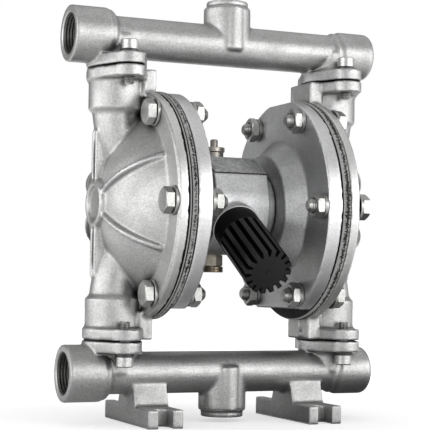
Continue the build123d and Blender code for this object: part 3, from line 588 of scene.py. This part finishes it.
# Painted shade: the slots' walls and floors are near-black with little gloss; the collar shares this
# near-black
slot_shade_and_collar_black = metal_finish(
    "slot_shade_and_collar_black", (0.002, 0.002, 0.002), 0.6, 0.10, 1400.0, 0.00006, 0.0, 0.0
)
for plastic, gloss in ((black_plastic, 0.34), (slot_shade_and_collar_black, 0.10)):
    shader = plastic.node_tree.nodes["Principled BSDF"]
    shader.inputs["Specular IOR Level"].default_value = gloss
collar_cut, collar_end, fins_end, end_plate_face = 0.0437, 0.0436, 0.0815, 0.0823
muffler_core_r, slot_floor_r, slot_mouth_r = 0.0100, 0.0075, 0.0131
muffler = edit_copy("exhaust_muffler", "exhaust_muffler_moulding")
bpy.ops.mesh.dissolve_limited(angle_limit=radians(2))
bpy.ops.mesh.select_all(action="SELECT")
bpy.ops.mesh.bisect(plane_co=exhaust_root + exhaust_way * collar_cut, plane_no=exhaust_way)
bpy.ops.object.mode_set(mode="OBJECT")
for corner in muffler.data.vertices:
    # The slots run a little deeper than the solid's, down to the moulding's thin core
    outward = corner.co - exhaust_root
    along = outward.dot(exhaust_way)
    outward -= exhaust_way * along
    if abs(outward.length - muffler_core_r) < 0.0002 and 0.0420 < along < 0.0800:
        corner.co -= outward * (1 - slot_floor_r / muffler_core_r)
for face in muffler.data.polygons:
    # Walls and floors of the slots get painted shade, a near-black with little gloss, and the collar
    # the same near-black
    outward = face.center - exhaust_root
    along = outward.dot(exhaust_way)
    outward -= exhaust_way * along
    in_slot = collar_end < along < fins_end and outward.length < slot_mouth_r
    on_collar = along < collar_end
    face.material_index = 1 if in_slot or on_collar else 0
keep_modifier(
    muffler, "BEVEL", width=0.0003, segments=2, limit_method="ANGLE", angle_limit=radians(35)
)
smooth_faces(muffler, 35)
slot_faces = [face.index for face in muffler.data.polygons if face.material_index == 1]
fit_piece(muffler, black_plastic, "black_plastic", "exhaust_muffler")
muffler.data.materials.append(slot_shade_and_collar_black)
for index in slot_faces:
    muffler.data.polygons[index].material_index = 1
gate = turned(
    "muffler_gate_mark",
    [(0.0, 0.0), (0.0, 0.0014), (0.0005, 0.0012), (0.0006, 0.0008), (0.0002, 0.0004), (0.0002, 0.0)],
    exhaust_root + exhaust_way * end_plate_face, exhaust_way, steps=32, closed=False,
)
fit_piece(gate, black_plastic, "black_plastic")

# Diaphragm edges: cut rubber with a pale fabric layer on each face, squeezed out a
# little between the cover and the air chamber, and frayed where it was cut.
cut_rubber = metal_finish(
    "cut_rubber", (0.03, 0.03, 0.03), 0.75, 0.2, 1500.0, 0.0002, 0.0, 0.0
)
tree = cut_rubber.node_tree
nodes, links = tree.nodes, tree.links
spot = nodes.new("ShaderNodeTexCoord")
split = nodes.new("ShaderNodeSeparateXYZ")
links.new(spot.outputs["Object"], split.inputs[0])
fray = noise(tree, 950.0, 3.0, 0.7)
drift = noise(tree, 45.0, 2.0, 0.5)
depth = maths(tree, "ABSOLUTE", split.outputs["X"], 0.0)
# The right edge frays more than the left one, over its whole width
on_right = maths(tree, "GREATER_THAN", split.outputs["X"], 0.0)
seam_depth = maths(tree, "MULTIPLY_ADD", on_right, 0.0012, 0.0462)
from_middle = maths(tree, "ABSOLUTE", maths(tree, "SUBTRACT", depth, seam_depth), 0.0)
from_middle = maths(tree, "MULTIPLY_ADD", on_right, -0.0007, from_middle)
band = maths(tree, "MULTIPLY_ADD", drift, 0.0020, maths(tree, "SUBTRACT", from_middle, 0.0010))
ragged = maths(tree, "MULTIPLY_ADD", fray, 0.0070, maths(tree, "SUBTRACT", band, 0.0035))
height = maths(tree, "SUBTRACT", split.outputs["Z"], shaft_z)
radius_squared = maths(
    tree, "ADD", maths(tree, "MULTIPLY", split.outputs["Y"], split.outputs["Y"]),
    maths(tree, "MULTIPLY", height, height),
)
on_rim = maths(tree, "GREATER_THAN", radius_squared, 0.0656 ** 2)
pale = map_range(tree, ragged, (0.0002, 0.0007), (0.0, 1.0))
layer_tone = nodes.new("ShaderNodeValToRGB")
ramp = layer_tone.color_ramp
ramp.elements[0].color = (0.012, 0.012, 0.012, 1)
ramp.elements[1].color = (0.48, 0.48, 0.47, 1)
links.new(maths(tree, "MULTIPLY", pale, on_rim), layer_tone.inputs["Fac"])
links.new(layer_tone.outputs["Color"], nodes["Principled BSDF"].inputs["Base Color"])
edge_inner_x = 0.0442
edge_layers = {
    "left": [
        (0.0, 0.050), (0.0, 0.0635), (0.0006, 0.0635), (0.0007, 0.0660), (0.0010, 0.0663),
        (0.0024, 0.0664), (0.0032, 0.0663), (0.0035, 0.0660), (0.0036, 0.0635), (0.0042, 0.0635),
        (0.0043, 0.0660), (0.0046, 0.0662), (0.0049, 0.0660), (0.0050, 0.0635),
        (0.0056, 0.0635), (0.0056, 0.050),
    ],
    "right": [
        (0.0, 0.050), (0.0, 0.0635), (0.0006, 0.0635), (0.0007, 0.0660), (0.0012, 0.0663),
        (0.0030, 0.0664), (0.0046, 0.0663), (0.0051, 0.0660), (0.0052, 0.0652),
        (0.0056, 0.0652), (0.0056, 0.050),
    ],
}
for side, hand in ((-1, "left"), (1, "right")):
    edge = turned(
        f"diaphragm_edge_{hand}_layers", edge_layers[hand],
        (side * edge_inner_x, 0, shaft_z), (side, 0, 0), steps=240,
    )
    fit_piece(edge, cut_rubber, "cut_rubber", f"diaphragm_edge_{hand}")

# Diaphragm webs: the moulded rubber cones inside, clamped between the plates on the
# shaft. Each is twelve gores. At the inward end of the
# stroke a web still dips about a millimetre into its air chamber.
web_rubber = metal_finish(
    "web_rubber", (0.025, 0.025, 0.025), 0.65, 0.15, 1200.0, 0.0001, 0.0, 0.0
)
web_root_r, web_rim_r = 0.0335, 0.0500
web_bore_r, web_inner_x, web_outer_x = 0.00415, 0.0365, 0.0395
web_folds, web_gores = 6, 12
outer_skin = [
    (web_outer_x + 0.0085 * i / web_folds, web_root_r + (web_rim_r - web_root_r) * i / web_folds)
    for i in range(web_folds + 1)
]
inner_skin = [
    (0.0460 - 0.0095 * i / web_folds, web_rim_r - (web_rim_r - web_root_r) * i / web_folds)
    for i in range(web_folds + 1)
]
web_section = [(web_inner_x, web_bore_r), (web_outer_x, web_bore_r)] + outer_skin + inner_skin
shaft_middle = Vector((0, 0, shaft_z))
for side, hand in ((-1, "left"), (1, "right")):
    for gore_number in range(web_gores):
        gore = turned(
            f"diaphragm_web_{hand}_gore_{gore_number + 1}",
            web_section, shaft_middle, (side, 0, 0), steps=72,
        )
        bpy.ops.object.mode_set(mode="EDIT")
        for border, beyond in ((gore_number, False), (gore_number + 1, True)):
            angle = 2 * pi * border / web_gores
            bpy.ops.mesh.select_all(action="SELECT")
            bpy.ops.mesh.bisect(
                plane_co=shaft_middle, plane_no=(0, -sin(angle), cos(angle)), use_fill=True,
                clear_inner=not beyond, clear_outer=beyond,
            )
        bpy.ops.object.mode_set(mode="OBJECT")
        gore.data.materials.append(web_rubber)
        angle = 2 * pi * (gore_number + 0.5) / web_gores
        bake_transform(gore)
        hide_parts(f"diaphragm_web_{hand}")


# Chamber bolts: six stainless hexagon bolts a side with a plain washer under the head,
# and a nut on a spring washer on the inner side, which the threaded end just passes.
def hexagon_block(name, across, height, chamfer_ends):
    # Hexagon whose corners are turned off at the top, and at the bottom of a nut
    corner = across / 2 / cos(pi / 6)
    face_r, groove_r, groove_height = across * 0.475, across * 0.42, 0.0006
    drop = (corner - face_r) * 0.577
    foot = [(0.0, 0.0), (0.0, face_r), (drop, corner)]
    if chamfer_ends == 1:
        # A bolt head stands on a narrower washer face
        foot = [(0.0, 0.0), (0.0, groove_r), (groove_height, groove_r)]
        foot.append((groove_height, corner * 1.01))
    profile = foot + [(height - drop, corner), (height, face_r), (height, 0.0)]
    limit = turned(f"{name}_limit", profile, (0, 0, 0), (0, 0, 1), steps=72, closed=False)
    bpy.ops.object.select_all(action="DESELECT")
    bpy.ops.mesh.primitive_cylinder_add(vertices=6, radius=corner, depth=height)
    block = bpy.context.object
    block.name = name
    block.data.transform(Matrix.Rotation(pi / 6, 4, "Z") @ Matrix.Translation((0, 0, height / 2)))
    keep_modifier(block, "BOOLEAN", operation="INTERSECT", object=limit, solver="EXACT")
    bpy.data.objects.remove(limit)
    return block


def drill(block, cutter):
    keep_modifier(block, "BOOLEAN", operation="DIFFERENCE", object=cutter, solver="EXACT")
    bpy.data.objects.remove(cutter)


def put_copies(master, placements, finish, slot, *nodes):
    # The master is laid out as copies, each with its own mesh in its own place
    for name, placement in placements:
        copy = bpy.data.objects.new(name, master.data.copy())
        bpy.context.scene.collection.objects.link(copy)
        copy.data.transform(placement)
        fit_piece(copy, finish, slot, *nodes)
    bpy.data.objects.remove(master)


bolt_circle_r = 0.059


def bolt_places(name, seat):
    # Both bolt circles; a piece modelled up its own Z axis ends up along the shaft
    places = []
    for side, hand in ((-1, "left"), (1, "right")):
        for number in range(6):
            angle = radians(60 * number)
            across, up = -bolt_circle_r * cos(angle), bolt_circle_r * sin(angle)
            spot = Vector((side * seat, across, shaft_z + up))
            turn = Matrix.Rotation(side * pi / 2, 4, "Y")
            places.append((f"{name}_{hand}_{number + 1}", Matrix.Translation(spot) @ turn))
    return places


fastener_steel = metal_finish(
    "fastener_steel", (0.52, 0.52, 0.505), 0.33, 0.12, 800.0, 0.00009, 0.4
)
hexagon_width = 0.013
head = hexagon_block("bolt_head", hexagon_width, 0.0053, 1)
bolt_thread_start = 0.0240
bolt_thread = thread_profile(0.0, 0.0075, 0.0040, 0.0035, 0.00125)
shank = turned(
    "bolt_shank",
    [(0.0005, 0.0), (0.0005, 0.0040), (-bolt_thread_start, 0.0040)]
    + [(-bolt_thread_start - along, radius) for along, radius in bolt_thread]
    + [(-0.0320, 0.0030), (-0.0325, 0.0026), (-0.0326, 0.0)],
    (0, 0, 0), (0, 0, 1), steps=40, closed=False,
)
select_only(head, shank)
bpy.ops.object.join()
smooth_faces(head, 28)
put_copies(
    head, bolt_places("chamber_bolt", 0.0576), fastener_steel, "fastener_steel", "chamber_bolts"
)

washer = turned(
    "plain_washer",
    [(0.0, 0.0042), (0.0, 0.0077), (0.0003, 0.0080), (0.0013, 0.0080), (0.0016, 0.0077),
     (0.0016, 0.0042)],
    (0, 0, 0), (0, 0, 1), steps=64,
)
put_copies(
    washer, bolt_places("head_washer", seat_x), fastener_steel, "fastener_steel", "chamber_head_washers"
)

nut = hexagon_block("chamber_nut", hexagon_width, 0.0048, 2)
drill(nut, turned(
    "nut_bore",
    [(-0.001, 0.0), (-0.001, 0.0052), (0.0008, 0.0041), (0.0040, 0.0041), (0.0058, 0.0052),
     (0.0058, 0.0)],
    (0, 0, 0), (0, 0, 1), steps=48, closed=False,
))
smooth_faces(nut, 28)
nut.data.transform(Matrix.Rotation(pi, 4, "X"))
put_copies(nut, bolt_places("chamber_nut", 0.0335), fastener_steel, "fastener_steel", "chamber_nuts")

lock = turned(
    "lock_washer",
    [(-0.0020, 0.0042), (-0.0020, 0.0068), (-0.0018, 0.00705), (-0.0002, 0.00705),
     (0.0, 0.0068), (0.0, 0.0042)],
    (0, 0, 0), (0, 0, 1), steps=64,
)
put_copies(
    lock, bolt_places("nut_washer", 0.0355), fastener_steel, "fastener_steel", "chamber_nut_washers"
)


# Flange screws: eight stainless socket head screws with spring washers, from the
# manifold side, tapped into the cover's flange so that the threaded end shows.
def screw_places(name, rise):
    # Two to each flange, before and behind its column
    places = []
    for up, level in ((1, "outlet"), (-1, "inlet")):
        for side, hand in ((-1, "left"), (1, "right")):
            for front, face in ((-1, "front"), (1, "back")):
                spot = Vector((side * column_x, front * 0.0215, shaft_z + up * rise))
                turn = Matrix.Identity(4) if up > 0 else Matrix.Rotation(pi, 4, "X")
                places.append((f"{name}_{level}_{hand}_{face}", Matrix.Translation(spot) @ turn))
    return places


screw_thread_start = 0.0142
screw_thread = thread_profile(0.0, 0.0050, 0.0030, 0.0025, 0.001)
screw = turned(
    "socket_screw",
    [(0.0060, 0.0), (0.0060, 0.0043), (0.0058, 0.0047), (0.0054, 0.0050), (0.0004, 0.0050),
     (0.0, 0.0047), (0.0, 0.0030), (-screw_thread_start, 0.0030)]
    + [(-screw_thread_start - along, radius) for along, radius in screw_thread]
    + [(-0.0196, 0.0022), (-0.0196, 0.0)],
    (0, 0, 0), (0, 0, 1), steps=48, closed=False,
)
bpy.ops.object.select_all(action="DESELECT")
bpy.ops.mesh.primitive_cylinder_add(vertices=6, radius=0.0029, depth=0.006, location=(0, 0, 0.006))
drill(screw, bpy.context.object)
smooth_faces(screw, 30)
screw_seat_rise, spring_washer_height = 0.0849, 0.0016
socket_steel = metal_finish("socket_steel", (0.62, 0.62, 0.61), 0.27, 0.14, 700.0, 0.00008, 0.5)
put_copies(
    screw, screw_places("flange_screw", screw_seat_rise + spring_washer_height), socket_steel,
    "fastener_steel", "flange_screws",
)
split_ring = turned(
    "split_ring",
    [(0.0, 0.0032), (0.0, 0.0050), (0.0003, 0.0054), (0.0007, 0.0054), (0.0008, 0.0051),
     (0.0009, 0.0054), (0.0013, 0.0054), (0.0016, 0.0050), (0.0016, 0.0032)],
    (0, 0, 0), (0, 0, 1), steps=48,
)
# Painted shade: the spring washers are near-black, standing for the shadow line under each screw head
spring_washer_painted_shade = metal_finish("spring_steel_painted_shade", (0.13, 0.13, 0.13), 0.34, 0.15, 900.0, 0.00006, 0.5)
put_copies(
    split_ring, screw_places("spring_washer", screw_seat_rise), spring_washer_painted_shade, "fastener_steel",
    "spring_washers",
)

# Air valve fittings: a nickel-plated cap with the reset stem on top of the centre
# body, and a brass hexagon plug with a bronze ring below it. Heights are the pump's own.
valve_x, valve_y = -0.0013, 0.014
dull_nickel = metal_finish("dull_nickel", (0.46, 0.43, 0.39), 0.34, 0.08, 900.0, 0.00005, 0.2)
cap = turned(
    "valve_cap_turned",
    [(0.1539, 0.00238), (0.1539, 0.0062), (0.1555, 0.0062), (0.1556, 0.0058), (0.1600, 0.0058),
     (0.1604, 0.0062), (0.1607, 0.0065), (0.1629, 0.0065), (0.1632, 0.0062), (0.1632, 0.00238)],
    (valve_x, valve_y, 0), (0, 0, 1), steps=72,
)
fit_piece(cap, dull_nickel, "machined_steel", "valve_cap")
plated_brass = metal_finish("plated_brass", (0.86, 0.80, 0.66), 0.24, 0.06, 900.0, 0.00005, 0.2)
dark_bronze = metal_finish("dark_bronze", (0.40, 0.33, 0.25), 0.36, 0.10, 900.0, 0.00005, 0.2)
plug = hexagon_block("valve_plug_hexagon", 0.0106, 0.0072, 2)
plug.data.transform(
    Matrix.Translation((valve_x, valve_y, 0.0912)) @ Matrix.Rotation(radians(28), 4, "Z")
)
smooth_faces(plug, 28)
fit_piece(plug, plated_brass, "plated_brass", "valve_plug")
plug_ring = turned(
    "valve_plug_ring",
    [(0.0877, 0.0), (0.0877, 0.0060), (0.0880, 0.0064), (0.0894, 0.0064), (0.0896, 0.0061),
     (0.0898, 0.0064), (0.0909, 0.0064), (0.0912, 0.0060), (0.0912, 0.0)],
    (valve_x, valve_y, 0), (0, 0, 1), steps=72, closed=False,
)
fit_piece(plug_ring, dark_bronze, "plated_brass")
stem = turned(
    "reset_stem_turned",
    [(0.1510, 0.0), (0.1510, 0.0023), (0.1520, 0.0023), (0.1520, 0.0035), (0.1538, 0.0035),
     (0.1538, 0.0023), (0.1674, 0.0023), (0.1680, 0.0020), (0.1682, 0.0015), (0.1682, 0.0)],
    (valve_x, valve_y, 0), (0, 0, 1), steps=48, closed=False,
)
fit_piece(stem, dull_nickel, "machined_steel", "reset_stem", body="stem")

# Gaskets in the flange seams: thin moulded black rings, seen only as a dark line.
# They keep their solid's shape, like the inner pieces below.
gasket_rubber = metal_finish(
    "gasket_rubber", (0.02, 0.02, 0.02), 0.7, 0.15, 900.0, 0.00008, 0.0, 0.0
)

# Inner pieces: the shaft with its plates, bushes and end nuts, the ball valves and the
# air valve. Nothing shows them, so they keep their solids' shape.
turned_stainless = metal_finish(
    "turned_stainless", (0.66, 0.66, 0.65), 0.30, 0.04, 1100.0, 0.00008, 0.15
)
turned_aluminium = metal_finish("turned_aluminium", (0.66, 0.67, 0.68), 0.3, 0.04, 700.0, 0.00005, 0.1)
valve_bronze = metal_finish("valve_bronze", (0.60, 0.47, 0.28), 0.3, 0.06, 800.0, 0.00005, 0.1)
white_plastic = metal_finish(
    "white_plastic", (0.86, 0.86, 0.84), 0.35, 0.03, 600.0, 0.00004, 0.0, 0.0
)
inner_finishes = {
    "flange_gaskets": gasket_rubber,
    "inner_plate_left": turned_aluminium,
    "inner_plate_right": turned_aluminium,
    "outer_plate_left": turned_stainless,
    "outer_plate_right": turned_stainless,
    "diaphragm_shaft": turned_stainless,
    "shaft_nuts": fastener_steel,
    "shaft_bushes": valve_bronze,
    "valve_sleeve": valve_bronze,
    "valve_spool": turned_stainless,
    "valve_seats": white_plastic,
    "outlet_left_ball": white_plastic,
    "outlet_right_ball": white_plastic,
    "inlet_left_ball": white_plastic,
    "inlet_right_ball": white_plastic,
}
for node, finish in inner_finishes.items():
    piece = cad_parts[node]
    piece.data.materials.clear()
    piece.data.materials.append(finish)
